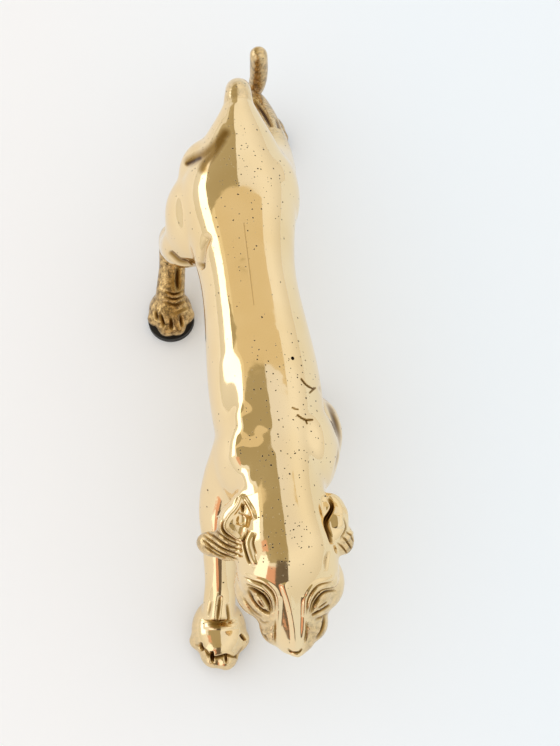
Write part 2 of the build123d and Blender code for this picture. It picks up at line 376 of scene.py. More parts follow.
# trunk and haunches are worked smooth, paws and face less
place, _ = pointsOf(wax)
softness = np.ones(len(place))
for limb in limbs.values():
    near = np.linalg.norm((place - np.array([*limb["paw"], padTop + 5])) / np.array([1, 1, 1.1]), axis=1)
    start, over, least = softening["paw"]
    softness = np.minimum(softness, np.clip((near - start) / over, least, 1))
for line in [limb["line"][2:] for limb in limbs.values()] + [tail["line"][1:]]:
    gap, _ = lineGap(place, [knot[:3] for knot in line])
    start, over, least = softening["limb"]
    softness = np.minimum(softness, np.clip((gap - start) / over, least, 1))
start, over, least = softening["head"]
softness = np.minimum(softness, 1 - (1 - least) * np.clip((-place[:, 1] - start) / over, 0, 1))
group = wax.vertex_groups.new(name="soft")
for step in range(11):  # in tenths
    low = step / 10 - 0.05
    chosen = np.nonzero((softness >= low) & (softness < low + 0.1))[0]
    group.add([int(k) for k in chosen], step / 10, "REPLACE")
passes = int(round(softening["passes"] * (0.5 / fine) ** 2))
useModifier(wax, "SMOOTH", factor=softening["push"], iterations=passes, vertex_group="soft")
useModifier(wax, "SMOOTH", factor=softening["lastPush"], iterations=max(3, passes // 8))
wax.vertex_groups.clear()
print("smoothed")


def pickFaces(piece, chosen):
    pickOnly(piece)
    mesh = piece.data
    mesh.polygons.foreach_set("select", np.zeros(len(mesh.polygons), bool))
    mesh.edges.foreach_set("select", np.zeros(len(mesh.edges), bool))
    mesh.vertices.foreach_set("select", np.zeros(len(mesh.vertices), bool))
    mesh.polygons.foreach_set("select", chosen)
    bpy.ops.object.mode_set(mode="EDIT")
    bpy.ops.mesh.select_mode(type="FACE")
    bpy.ops.object.mode_set(mode="OBJECT")
    mesh.polygons.foreach_set("select", chosen)
    bpy.ops.object.mode_set(mode="EDIT")


def faceMiddles(piece):
    mesh = piece.data
    middle = np.empty(len(mesh.polygons) * 3)
    mesh.polygons.foreach_get("center", middle)
    return middle.reshape(-1, 3) / mm - np.array([homeX, homeY, 0]) / mm


def hangingWith(piece, seed):
    # marks every vertex that hangs together with the one nearest the seed
    mesh = piece.data
    place, _ = pointsOf(piece)
    edges = np.empty(len(mesh.edges) * 2, int)
    mesh.edges.foreach_get("vertices", edges)
    edges = edges.reshape(-1, 2)
    label = np.arange(len(place))
    while True:
        before = label.copy()
        low = np.minimum(label[edges[:, 0]], label[edges[:, 1]])
        np.minimum.at(label, edges[:, 0], low)
        np.minimum.at(label, edges[:, 1], low)
        label = label[label]
        if np.array_equal(before, label):
            break
    nearest = np.argmin(np.linalg.norm(place - np.array(seed), axis=1))
    return label == label[nearest]


sawReach = 3  # faces this far from the cut, mm, are looked through


def sawOff(whole, point, outward, wide, high, seed, name):
    # saws round one limb or the neck, and takes away the side that the seed is on
    point = np.array(point, float)
    outward = np.array(outward, float) / np.linalg.norm(outward)
    middle = faceMiddles(whole)
    height = (middle - point) @ outward
    level = middle - point - height[:, None] * outward
    side = level[:, 0] / wide
    rest = np.linalg.norm(level[:, 1:], axis=1) / high
    pickFaces(whole, (np.abs(height) < sawReach) & (side ** 2 + rest ** 2 < 1))
    bpy.ops.mesh.bisect(plane_co=at(*point), plane_no=Vector(outward))
    bpy.ops.mesh.edge_split(type="EDGE")
    bpy.ops.object.mode_set(mode="OBJECT")
    chosen = hangingWith(whole, seed)
    mesh = whole.data
    mesh.edges.foreach_set("select", np.zeros(len(mesh.edges), bool))
    mesh.polygons.foreach_set("select", np.zeros(len(mesh.polygons), bool))
    mesh.vertices.foreach_set("select", chosen)
    bpy.ops.object.mode_set(mode="EDIT")
    bpy.ops.mesh.select_mode(type="VERT")
    bpy.ops.object.mode_set(mode="OBJECT")
    mesh.vertices.foreach_set("select", chosen)
    bpy.ops.object.mode_set(mode="EDIT")
    bpy.ops.mesh.separate(type="SELECTED")
    bpy.ops.object.mode_set(mode="OBJECT")
    new = [o for o in bpy.context.selected_objects if o is not whole][0]
    new.name = name
    new.data.name = name
    print("sawn", name, len(new.data.vertices), "left", len(whole.data.vertices))
    return new


def capHoles(piece):
    pickOnly(piece)
    bpy.ops.object.mode_set(mode="EDIT")
    bpy.ops.mesh.select_all(action="SELECT")
    bpy.ops.mesh.fill_holes(sides=0)
    bpy.ops.mesh.select_all(action="SELECT")
    bpy.ops.mesh.normals_make_consistent(inside=False)
    bpy.ops.object.mode_set(mode="OBJECT")


castings = {}
limbBlade = 11.5  # how far round the joint a saw reaches, mm
for name, limb in limbs.items():
    top, bottom = [np.array(p) for p in limb["joint"][:2]]
    middle = top + (bottom - top) * limb["joint"][2]
    seed = (*limb["paw"], padTop + 12.0)
    blade = limb.get("blade", limbBlade)
    castings[name] = sawOff(wax, middle, bottom - top, blade, blade, seed, name + "Cast")
castings["tail"] = sawOff(
    wax, tail["joint"], (0, 1, 0), tail["blade"], tail["blade"], tail["line"][-1][:3], "tailCast")
castings["head"] = sawOff(
    wax, neck["joint"], (0, -1, 0), neck["bladeWide"], neck["bladeHigh"], neck["nose"], "headCast")


def tidyShell():
    # shells: close the limb, neck and tail joints, then halve the body along the spine
    capHoles(wax)
    pickOnly(wax)
    bpy.ops.object.duplicate()
    other = bpy.context.view_layer.objects.active
    for half, name, inward in ((wax, "body_shell_right", 1), (other, "body_shell_left", -1)):
        pickOnly(half)
        bpy.ops.object.mode_set(mode="EDIT")
        bpy.ops.mesh.select_all(action="SELECT")
        bpy.ops.mesh.bisect(
            plane_co=at(0, 0, 0), plane_no=(inward, 0, 0), use_fill=True, clear_outer=True)
        bpy.ops.object.mode_set(mode="OBJECT")
        half.name = name + "Cast"
        half.data.name = half.name
        castings[name] = half
        print("half", name, len(half.data.vertices))


def shadeMetal(piece):
    creaseAngle = 55
    pickOnly(piece)
    bpy.ops.object.shade_smooth_by_angle(angle=math.radians(creaseAngle))


bodyForms = (  # line (x, y, z), width, height
    ([(-11.0, -64.0, 72.0), (-10.5, -56.0, 74.0), (-9.5, -46.0, 74.0)], 6.0, 0.8),
    ([(-13.0, -38.0, 72.0), (-12.0, -28.0, 76.0)], 7.0, -0.6),
    ([(0.0, 64.0, 80.0), (0.0, 74.0, 77.0)], 4.0, 0.5))
bodyLines = (  # line (a, b), width, height, patina with painted shade and reflection
    # knob of the shoulder blade, neck furrow and the ridge beside it
    ([(-16.4, 70.3), (-14.0, 71.6), (-12.4, 73.4)], 6.4, 0.3, 0.0),
    ([(-18.8, 66.2), (-21.2, 61.8), (-22.2, 55.0), (-22.5, 49.5)], 5.6, -0.5, 0.0),
    ([(-13.7, 70.3), (-16.4, 64.2), (-17.7, 57.3), (-18.4, 54.6)], 5.0, 0.35, 0.0),
    # thigh and flank; the hollow of the hip, with olive and brown laid on it as painted reflection; and the
    # fold under the thigh, darkened as painted shade
    ([(-31.0, 142.5), (-32.4, 139.0), (-33.0, 133.5)], 2.2, -1.1, 0.25),
    ([(-24.6, 178.6), (-28.2, 174.4), (-31.0, 172.0), (-34.0, 170.4), (-36.8, 169.0)], 3.4, -0.2, 0.44),
    ([(-25.8, 176.4), (-28.8, 171.9), (-31.4, 168.6), (-32.0, 166.4)], 3.4, 0.0, 0.44),
    ([(-33.4, 170.4), (-37.6, 168.4)], 1.5, -0.3, 0.8),
    ([(-43.2, 137.5), (-40.0, 134.8), (-36.0, 134.2), (-33.0, 133.2)], 1.6, -0.9, 0.5),
    # behind the left elbow: painted shade darkens the gap between flank and leg
    ([(8.8, 91.6), (11.8, 85.0), (14.0, 78.0), (15.4, 71.0), (12.4, 56.0)], 2.0, -0.8, 0.7),
    # cracks in the casting skin, and the seam along the spine
    ([(1.5, 94.6), (3.2, 92.6), (5.6, 91.2)], 0.55, -0.12, 0.9),
    ([(4.4, 90.0), (6.3, 91.6)], 0.5, -0.1, 0.8),
    ([(0.2, 82.3), (2.6, 80.8), (5.3, 80.7)], 0.55, -0.12, 0.9),
    ([(2.8, 80.9), (3.5, 79.4)], 0.5, -0.1, 0.8),
    ([(-1.6, 84.8), (0.4, 84.2)], 0.5, -0.1, 0.7),
    ([(-18.2, 148.0), (-16.4, 133.0), (-14.8, 120.0)], 0.45, -0.08, 0.3))

body = startWork(wax)
for line, width, height in bodyForms:
    stroke(body, line, width, height, solid=True)
for line, width, height, patinaPaintedShadeAndReflection in bodyLines:
    stroke(body, line, width, height, patinaPaintedShadeAndReflection)
endWork(wax, body)
tidyShell()

for name, casting in castings.items():
    if not name.startswith("body"):
        useModifier(casting, "SUBSURF", levels=1, render_levels=1)

faceLines = (
    # lids, brow folds and eye corners of the right side, then of the left side
    ([(-17.0, 23.4), (-14.6, 22.4), (-11.8, 20.6), (-9.8, 17.6), (-9.0, 14.4)], 1.0, -0.75, 0.95),
    ([(-17.0, 22.8), (-15.4, 19.6), (-13.2, 16.8), (-10.8, 15.0), (-9.0, 14.2)], 1.0, -0.75, 0.9),
    ([(-14.6, 20.6), (-12.4, 18.6), (-10.6, 16.2)], 1.9, 0.7, 0.0),
    ([(-13.2, 19.6), (-11.2, 16.8)], 0.55, -0.35, 0.8),
    ([(-18.0, 26.0), (-14.6, 24.6), (-11.0, 23.0), (-8.6, 19.8), (-7.8, 15.0)], 1.1, 0.65, 0.0),
    ([(-17.6, 24.6), (-14.2, 23.4), (-11.0, 21.8), (-8.9, 18.6), (-8.3, 14.6)], 0.6, -0.5, 0.85),
    ([(-18.6, 27.2), (-15.0, 25.8), (-11.2, 24.2), (-8.0, 20.6), (-7.3, 15.6)], 0.5, -0.35, 0.65),
    ([(-19.4, 28.4), (-15.4, 26.8), (-11.0, 25.4), (-7.2, 21.8), (-6.6, 16.0)], 1.1, 0.5, 0.0),
    ([(-18.6, 20.4), (-17.0, 17.6), (-14.4, 14.8), (-11.6, 13.2)], 0.8, -0.4, 0.5),
    ([(-17.4, 17.6), (-15.4, 14.6), (-12.6, 12.2)], 0.7, -0.3, 0.4),
    ([(5.0, 13.6), (8.0, 15.4), (11.4, 17.4)], 0.8, -0.8, 0.95),
    ([(4.8, 14.4), (6.4, 18.4), (9.4, 21.6), (13.4, 22.4)], 0.8, -0.6, 0.85),
    ([(6.6, 16.0), (9.0, 18.4), (11.6, 19.8)], 1.9, 0.7, 0.0),
    ([(7.0, 16.6), (10.0, 19.0)], 0.5, -0.3, 0.7),
    ([(3.6, 14.2), (4.6, 19.6), (7.6, 23.2), (12.6, 24.4), (14.0, 27.4)], 1.1, 0.65, 0.0),
    ([(4.2, 14.4), (5.4, 18.8), (8.4, 22.4), (13.0, 23.4)], 0.6, -0.5, 0.8),
    ([(3.0, 13.8), (3.9, 19.8), (7.0, 23.9), (12.2, 25.3)], 0.5, -0.35, 0.65),
    ([(2.4, 13.6), (3.2, 20.0), (6.4, 24.8), (11.6, 26.4), (12.8, 29.0)], 1.1, 0.5, 0.0),
    ([(6.0, 12.2), (9.0, 13.4), (12.2, 15.6)], 0.7, -0.4, 0.5),
    # bridge of the nose, muzzle pads and the corners of the mouth
    ([(-4.7, 24.9), (-2.5, 18.4), (-0.8, 9.7), (-0.4, 1.6)], 1.9, 0.75, 0.0),
    ([(-6.0, 20.6), (-6.5, 11.9), (-6.9, 4.4)], 1.3, 0.55, 0.0),
    ([(-7.4, 12.6), (-7.6, 8.0), (-7.4, 4.0)], 0.9, -0.5, 0.5),
    ([(2.4, 20.6), (2.4, 11.9), (1.9, 5.4)], 1.2, 0.5, 0.0),
    ([(3.3, 12.0), (3.2, 7.6), (2.6, 4.4)], 0.8, -0.45, 0.5),
    ([(-10.6, 9.4), (-10.0, 7.6)], 3.6, 0.8, 0.0),
    ([(5.6, 10.0), (5.2, 8.2)], 3.4, 0.8, 0.0),
    ([(-15.4, 12.3), (-12.6, 8.6), (-10.2, 5.2)], 0.9, -0.7, 0.75),
    ([(-13.6, 13.2), (-11.6, 11.4), (-9.2, 11.6)], 0.6, -0.3, 0.4),
    ([(9.6, 14.0), (8.9, 9.6), (6.6, 5.4)], 0.9, -0.7, 0.75),
    ([(-3.4, 2.6), (-1.6, 1.2), (0.6, 1.2), (1.8, 2.8)], 0.6, -0.4, 0.6),
    ([(10.6, 36.4), (10.0, 32.6), (9.6, 29.0)], 1.2, -0.5, 0.3),
    # right ear: cup, folded tip, front fold and combed fur
    ([(-18.2, 48.4), (-19.2, 44.4)], 3.2, -1.1, 0.0),
    ([(-18.4, 55.2), (-20.2, 51.0), (-23.0, 47.5), (-24.3, 44.9), (-23.4, 42.7), (-19.9, 40.3),
      (-17.3, 39.3)], 1.2, 0.9, 0.0),
    ([(-18.2, 54.4), (-15.4, 50.0), (-14.5, 46.6)], 1.1, 0.8, 0.0),
    ([(-18.4, 52.2), (-18.6, 49.0)], 0.8, -0.5, 0.8),
    ([(-25.2, 46.6), (-25.6, 43.6), (-24.0, 41.4), (-20.4, 39.0)], 0.8, -0.6, 0.85),
    ([(-15.6, 42.6), (-16.7, 38.8), (-15.4, 33.8), (-14.3, 31.0)], 1.3, 0.9, 0.0),
    ([(-16.9, 43.0), (-18.2, 38.8), (-17.0, 33.8), (-15.8, 31.2)], 0.8, -0.8, 0.95),
    ([(-14.2, 42.0), (-15.2, 38.6), (-14.0, 34.4)], 0.7, -0.5, 0.6),
    ([(-31.8, 41.6), (-28.0, 38.2), (-24.0, 36.0), (-18.5, 34.0)], 0.6, -0.6, 0.75),
    ([(-31.0, 43.0), (-27.4, 40.0), (-23.6, 37.6), (-18.6, 35.9)], 0.6, -0.6, 0.75),
    ([(-29.2, 43.8), (-26.4, 41.4), (-22.6, 39.0), (-18.8, 37.6)], 0.6, -0.55, 0.7),
    ([(-32.2, 40.0), (-28.6, 36.4), (-24.6, 34.4), (-20.0, 32.8)], 0.6, -0.6, 0.8),
    ([(-31.4, 37.6), (-28.0, 34.8), (-24.0, 33.2)], 0.6, -0.5, 0.7),
    # left ear: lobe, its dark crease, rim and combed fur
    ([(14.6, 48.6), (14.6, 43.6)], 3.0, 0.7, 0.0),
    ([(10.5, 54.2), (12.0, 51.0), (10.0, 46.0), (11.2, 41.4), (12.2, 38.4)], 1.1, -1.2, 1.0),
    ([(16.4, 51.5), (18.0, 47.1), (18.6, 42.3), (15.9, 38.6)], 1.1, 0.7, 0.0),
    ([(15.4, 47.6), (16.8, 43.6), (14.6, 39.4)], 0.7, -0.4, 0.45),
    ([(16.8, 42.8), (20.0, 38.6), (21.0, 35.2)], 0.6, -0.55, 0.75),
    ([(15.4, 41.0), (18.4, 37.2), (19.2, 34.2)], 0.6, -0.55, 0.75),
    ([(18.0, 43.6), (21.2, 40.0)], 0.55, -0.5, 0.65),
    ([(13.8, 38.8), (16.4, 36.0), (17.4, 33.6)], 0.55, -0.5, 0.65))

pawLines = {
    "right_front_leg": (
        # a flat darker patch on the top of the paw, with no relief: painted reflection
        ([(-30.0, 11.4), (-27.0, 11.0), (-23.6, 11.6)], 3.2, 0.0, 0.55),
        ([(-33.2, 4.6), (-32.5, 1.4)], 1.0, -1.2, 0.95),
        ([(-29.2, 1.6), (-28.9, -2.6)], 1.0, -1.3, 0.95),
        ([(-24.4, 0.8), (-24.2, -2.6)], 0.8, -0.9, 0.8),
        ([(-20.6, 0.4), (-19.4, -1.6)], 1.0, -1.2, 0.95),
        ([(-19.2, 7.5), (-17.4, 5.2)], 1.0, -1.0, 0.9),
        ([(-35.2, 4.2), (-31.7, 2.2), (-28.9, -0.6), (-24.2, 0.2), (-20.8, -0.2), (-18.2, 3.6)],
         0.8, -0.5, 0.7),
        ([(-26.2, 20.6), (-26.8, 16.0), (-27.3, 11.6)], 1.1, -0.7, 0.7),
        ([(-23.9, 18.0), (-23.4, 14.4), (-23.0, 11.0)], 1.0, -0.6, 0.6),
        ([(-29.4, 19.0), (-30.4, 13.4)], 1.0, -0.4, 0.4),
        ([(-31.9, 10.4), (-26.9, 9.9), (-21.7, 10.4), (-18.9, 11.7)], 1.5, 0.7, 0.0),
        ([(-32.6, 12.2), (-27.0, 11.6), (-21.4, 12.2)], 0.9, -0.4, 0.6)),
    "right_rear_leg": (
        ([(-40.4, 133.4), (-40.7, 128.6), (-40.4, 124.4)], 1.3, -1.0, 1.0),
        ([(-41.4, 131.0), (-41.0, 124.0)], 3.4, 0.0, 0.5),
        ([(-40.0, 118.6), (-39.4, 117.2)], 5.0, 0.0, 0.6),
        ([(-45.0, 124.6), (-41.6, 123.6), (-38.6, 124.8)], 0.7, -0.6, 0.9),
        ([(-45.4, 122.8), (-41.6, 121.8), (-38.2, 123.0)], 0.7, -0.6, 0.9),
        ([(-45.8, 121.0), (-41.6, 120.0), (-38.0, 121.2)], 0.7, -0.5, 0.8),
        ([(-46.8, 117.0), (-45.4, 112.4)], 0.9, -1.0, 0.95),
        ([(-43.2, 116.0), (-42.8, 111.2)], 0.9, -1.0, 0.95),
        ([(-39.6, 116.6), (-39.2, 112.2)], 0.9, -1.0, 0.95),
        ([(-48.4, 118.0), (-47.8, 114.6)], 0.8, -0.7, 0.9)),
    "left_rear_leg": (
        ([(-14.6, 190.0), (-11.0, 185.0), (-8.6, 180.4)], 1.2, -0.8, 0.9),
        ([(-7.0, 184.0), (-5.4, 178.6)], 1.0, -0.6, 0.8)),
    "left_front_leg": (
        # behind the elbow: painted shade in the gap between leg and flank
        ([(9.0, 91.0), (12.0, 84.0), (14.2, 77.0), (15.2, 70.0)], 1.8, -0.6, 0.8),),
}

face = startWork(castings["head"])
for line, width, depth, patinaPaintedShadeAndReflection in faceLines:
    stroke(face, line, width, depth, patinaPaintedShadeAndReflection, taper=True)
endWork(castings["head"], face)
for name, lines in pawLines.items():
    work = startWork(castings[name])
    for line, width, depth, patinaPaintedShadeAndReflection in lines:
        stroke(work, line, width, depth, patinaPaintedShadeAndReflection, taper=True)
    endWork(castings[name], work)
for name in limbs:
    flatSole(castings[name])

# where the casting skin was left, and where shade is painted on the face; further down, where the polish is
# pitted
rawParts = {  # none above this height and all below that one (mm), and how much
    "right_rear_leg": (38.0, 26.0, 0.85), "left_rear_leg": (56.0, 36.0, 0.8), "tail": (58.0, 40.0, 0.7),
    "right_front_leg": (16.0, 9.0, 0.25), "left_front_leg": (40.0, 22.0, 0.5),
}
for name, (high, low, most) in rawParts.items():
    place, _ = pointsOf(castings[name])
    least = 0.22 if name == "tail" else 0.0
    skin = most * np.clip((high - place[:, 2]) / (high - low), 0, 1)
    putLayer(castings[name], "skinAndPaintedShade", np.maximum(least, skin))
jointReach, jointFade = 19, 10  # how far from a limb's joint the skin goes, and fades, mm
for half in ("body_shell_right", "body_shell_left"):
    place, _ = pointsOf(castings[half])
    skin = np.zeros(len(place))
    for name, limb in limbs.items():
        high, low, most = rawParts[name]
        top, bottom = [np.array(p) for p in limb["joint"][:2]]
        gap = np.linalg.norm(place - (top + (bottom - top) * limb["joint"][2]), axis=1)
        fade = most * np.clip((high - place[:, 2]) / (high - low), 0, 1)
        skin = np.maximum(skin, fade * np.clip((jointReach - gap) / jointFade, 0, 1))
    putLayer(castings[half], "skinAndPaintedShade", skin)
# on the head the ear fur is left as casting skin; the darker snout sides, eye sockets and lower face are
# painted shade
place, _ = pointsOf(castings["head"])
spots = sketched(place)
across, up = spots[:, 0], spots[:, 1]
rightFur = np.clip((-19.5 - across) / 4, 0, 1) * np.clip((47 - up) / 4, 0, 1)
leftFur = np.clip((across - 13.5) / 4, 0, 1) * np.clip((43 - up) / 4, 0, 1) * np.clip((up - 30) / 3, 0, 1)
snout = np.clip((15 - up) / 6, 0, 1) * np.clip((np.abs(across + 2.5) - 4.0) / 3, 0, 1)
rightSocket = np.clip(1.3 - lineGap(spots, [(-15.0, 21.0), (-10.5, 16.0)])[0] / 4.5, 0, 1)
leftSocket = np.clip(1.3 - lineGap(spots, [(6.5, 16.5), (12.0, 21.0)])[0] / 4.5, 0, 1)
faceTone = np.clip((26 - up) / 8, 0, 1) * np.clip((np.abs(across + 2.0) - 4.0) / 3, 0, 1)
headSkinAndPaintedShade = [
    0.5 * rightFur, 0.5 * leftFur, 0.5 * snout, 0.34 * rightSocket, 0.34 * leftSocket, 0.3 * faceTone]
putLayer(castings["head"], "skinAndPaintedShade", np.max(headSkinAndPaintedShade, axis=0))

pitSpots = (  # middle, reach, strength
    ((-6.0, 58.0, 78.0), 16.0, 1.0), ((6.0, 40.0, 82.0), 18.0, 0.9), ((-4.0, 20.0, 78.0), 20.0, 0.35),
    ((9.0, -34.0, 76.0), 18.0, 0.9), ((9.0, -60.0, 74.0), 18.0, 0.9), ((0.0, -86.0, 74.0), 13.0, 1.0),
    ((-3.0, -60.0, 76.0), 12.0, 0.6), ((0.0, -100.0, 62.0), 12.0, 0.45), ((3.0, 84.0, 74.0), 8.0, 0.6))
pitsAnywhere = 0.08
for casting in castings.values():
    place, _ = pointsOf(casting)
    pitted = np.full(len(place), pitsAnywhere)
    for middle, reach, strength in pitSpots:
        gap = np.linalg.norm(place - np.array(middle), axis=1)
        pitted = np.maximum(pitted, strength * np.clip(1.2 - gap / reach, 0, 1))
    putLayer(casting, "pitted", pitted)

# under and behind the head a coarser mesh will do
place, facing = pointsOf(castings["head"])
plain = (facing[:, 2] < 0.15) & (place[:, 1] < neck["joint"][1] - 3)
headThinning = 0.64
group = castings["head"].vertex_groups.new(name="plain")
group.add([int(k) for k in np.nonzero(plain)[0]], 1.0, "REPLACE")
useModifier(
    castings["head"], "DECIMATE", ratio=headThinning, vertex_group="plain", vertex_group_factor=10.0)
castings["head"].vertex_groups.clear()
print("details chased, head faces", len(castings["head"].data.polygons))


def toLinear(hexColour):
    channels = [int(hexColour[k:k + 2], 16) / 255 for k in (1, 3, 5)]
    return [v / 12.92 if v <= 0.04045 else ((v + 0.055) / 1.055) ** 2.4 for v in channels] + [1.0]


def addNode(tree, kind, links=(), **settings):
    # links are (input of the new node, node or socket that feeds it)
    node = tree.nodes.new(kind)
    for key, value in settings.items():
        if key.startswith("in_"):
            slotName = key[3:].replace("_", " ")
            node.inputs[int(slotName) if slotName.isdigit() else slotName].default_value = value
        else:
            setattr(node, key, value)
    for target, source in links:
        output = source if isinstance(source, bpy.types.NodeSocket) else source.outputs[0]
        tree.links.new(output, node.inputs[target])
    return node


def newMaterial(name):
    material = bpy.data.materials.new(name)
    material.use_nodes = True
    tree = material.node_tree
    shader = next(n for n in tree.nodes if n.type == "BSDF_PRINCIPLED")
    return material, tree, shader


brass = {
    # olive and brown colour the patina in the hollows and also the painted shade and painted reflection
    "clean": "#f3dbaf", "warm": "#ecd09c", "olive": "#a5834a", "brown": "#4a2d0b", "pitBrown": "#2a1a08",
    "rawLight": "#c99a45", "rawDark": "#5e3f12", "polish": 0.055, "smeared": 0.13, "dull": 0.26,
    # sizes of the patterns, mm
    "pitSpacing": 1.15, "pitRuffle": 0.7143, "skinGrain": 1.7857, "tarnishPatch": 22.222,
    "buffSmear": 6.25, "handWave": 11.765,
}


def mixColour(tree, factor, first, second):
    node = addNode(tree, "ShaderNodeMix", [("Factor", factor)], data_type="RGBA")
    for slotNumber, colour in ((6, first), (7, second)):
        if isinstance(colour, str):
            node.inputs[slotNumber].default_value = toLinear(colour)
        else:
            tree.links.new(colour, node.inputs[slotNumber])
    return node.outputs[2]


def ramped(tree, source, low, high, bottom=0.0, top=1.0):
    return addNode(
        tree, "ShaderNodeMapRange", [("Value", source)],
        in_From_Min=low, in_From_Max=high, in_To_Min=bottom, in_To_Max=top).outputs[0]


def mathNode(tree, operation, first, second):
    node = addNode(tree, "ShaderNodeMath", operation=operation, use_clamp=True)
    for k, value in enumerate((first, second)):
        if isinstance(value, (int, float)):
            node.inputs[k].default_value = value
        else:
            tree.links.new(value, node.inputs[k])
    return node.outputs[0]


def makeBrass():
    # sand-cast brass buffed by hand: mirror bright, pale gold, brown in the hollows, mottled where unbuffed;
    # the same olive and brown also lay painted shade and painted reflection on the surface
    material, tree, shader = newMaterial("buffedCastBrass")
    where = addNode(tree, "ShaderNodeTexCoord").outputs["Object"]
    patinaPaintedShadeAndReflection = addNode(tree, "ShaderNodeAttribute", attribute_name="patinaPaintedShadeAndReflection").outputs["Fac"]
    skinAndPaintedShade = addNode(tree, "ShaderNodeAttribute", attribute_name="skinAndPaintedShade").outputs["Fac"]
    pitted = addNode(tree, "ShaderNodeAttribute", attribute_name="pitted").outputs["Fac"]
    ruffle = addNode(
        tree, "ShaderNodeTexNoise", [("Vector", where)], in_Scale=1000 / brass["pitRuffle"],
        in_Detail=1.0)
    shift = addNode(
        tree, "ShaderNodeVectorMath", [(0, ruffle.outputs["Color"])], operation="SCALE", in_Scale=0.0006)
    bent = addNode(tree, "ShaderNodeVectorMath", [(0, where), (1, shift)], operation="ADD")
    pits = addNode(tree, "ShaderNodeTexVoronoi", [("Vector", bent)], in_Scale=1000 / brass["pitSpacing"])
    pick = addNode(tree, "ShaderNodeSeparateColor", [("Color", pits.outputs["Color"])])
    wanted = mathNode(tree, "GREATER_THAN", mathNode(tree, "MULTIPLY", pitted, 0.8), pick.outputs["Red"])
    reach = mathNode(tree, "MULTIPLY", mathNode(tree, "POWER", pick.outputs["Green"], 2.0), 0.16)
    inside = mathNode(tree, "SUBTRACT", mathNode(tree, "ADD", reach, 0.14), pits.outputs["Distance"])
    pit = mathNode(tree, "MULTIPLY", ramped(tree, inside, 0.0, 0.06), wanted)
    mottle = addNode(
        tree, "ShaderNodeTexNoise", [("Vector", where)], in_Scale=1000 / brass["skinGrain"],
        in_Detail=4.0, in_Roughness=0.66)
    blotch = addNode(
        tree, "ShaderNodeTexNoise", [("Vector", where)], in_Scale=1000 / brass["tarnishPatch"], in_Detail=2.0)
    patchy = ramped(tree, blotch.outputs["Fac"], 0.42, 0.68, 0.0, 0.55)
    base = mixColour(tree, patchy, brass["clean"], brass["warm"])
    mottled = ramped(tree, mottle.outputs["Fac"], 0.38, 0.62)
    skin = mixColour(tree, mottled, brass["rawLight"], brass["rawDark"])
    # the skin colours also darken the snout sides, eye sockets and lower face as painted shade
    cover = mathNode(
        tree, "MULTIPLY", skinAndPaintedShade, ramped(tree, mottle.outputs["Fac"], 0.3, 0.6, 0.45, 1.0))
    base = mixColour(tree, cover, base, skin)
    patinaShadeAndPits = mathNode(tree, "MAXIMUM", patinaPaintedShadeAndReflection, pit)
    # olive, then brown: patina in the hollows, and painted shade and painted reflection where strokes lay
    # colour on the surface
    base = mixColour(tree, ramped(tree, patinaPaintedShadeAndReflection, 0.12, 0.42), base, brass["olive"])
    base = mixColour(tree, ramped(tree, patinaPaintedShadeAndReflection, 0.4, 0.8), base, brass["brown"])
    tree.links.new(mixColour(tree, pit, base, brass["pitBrown"]), shader.inputs["Base Color"])
    smear = addNode(
        tree, "ShaderNodeTexNoise", [("Vector", where)], in_Scale=1000 / brass["buffSmear"], in_Detail=4.0)
    polish = ramped(tree, smear.outputs["Fac"], 0.45, 0.75, brass["polish"], brass["smeared"])
    dulled = mathNode(tree, "MULTIPLY", patinaShadeAndPits, brass["dull"] - brass["polish"])
    rough = mathNode(tree, "ADD", polish, dulled)
    rough = mathNode(tree, "ADD", rough, mathNode(tree, "MULTIPLY", skinAndPaintedShade, 0.11))
    tree.links.new(rough, shader.inputs["Roughness"])
    shader.inputs["Metallic"].default_value = 1.0
    waves = addNode(
        tree, "ShaderNodeTexNoise", [("Vector", where)], in_Scale=1000 / brass["handWave"], in_Detail=2.5)
    relief = addNode(
        tree, "ShaderNodeBump", [("Height", waves.outputs["Fac"])], in_Strength=0.2, in_Distance=0.0006)
    pitRelief = addNode(
        tree, "ShaderNodeBump", [("Height", pit), ("Normal", relief.outputs[0])],
        in_Strength=0.7, in_Distance=0.0002, invert=True)
    skinRelief = addNode(
        tree, "ShaderNodeBump", [
            ("Height", mottle.outputs["Fac"]), ("Normal", pitRelief.outputs[0]),
            ("Strength", mathNode(tree, "MULTIPLY", skinAndPaintedShade, 0.55))], in_Distance=0.0012)
    tree.links.new(skinRelief.outputs[0], shader.inputs["Normal"])
    return material


def makePlugBrass():
    # core plugs of blackened brass, never buffed: small matt dots, nearly black
    material, _, shader = newMaterial("blackenedBrass")
    shader.inputs["Base Color"].default_value = toLinear("#17100a")
    shader.inputs["Metallic"].default_value = 1.0
    shader.inputs["Roughness"].default_value = 0.6
    return material


def makeRubber():
    # black moulded nitrile rubber: matt, with a fine grain of grainSize mm
    grainSize = 0.4
    material, tree, shader = newMaterial("blackNitrileRubber")
    where = addNode(tree, "ShaderNodeTexCoord").outputs["Object"]
    grain = addNode(tree, "ShaderNodeTexNoise", [("Vector", where)], in_Scale=1000 / grainSize, in_Detail=3.0)
    colour = addNode(
        tree, "ShaderNodeMix", [("Factor", grain.outputs["Fac"])], data_type="RGBA",
        in_6=toLinear("#0b0b0c"), in_7=toLinear("#1d1c1b"))
    tree.links.new(colour.outputs[2], shader.inputs["Base Color"])
    relief = addNode(
        tree, "ShaderNodeBump", [("Height", grain.outputs["Fac"])], in_Strength=0.3, in_Distance=0.0002)
    tree.links.new(relief.outputs[0], shader.inputs["Normal"])
    shader.inputs["Roughness"].default_value = 0.62
    return material


polishedBrass = makeBrass()
padRubber = makeRubber()
plugBrass = makePlugBrass()

for name, casting in castings.items():
    if not name.startswith("body"):
        capHoles(casting)
    shadeMetal(casting)
    casting.data.materials.clear()
    casting.data.materials.append(polishedBrass)
    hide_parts(name)
    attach(casting, "root")
    print("casting", name, len(casting.data.polygons))

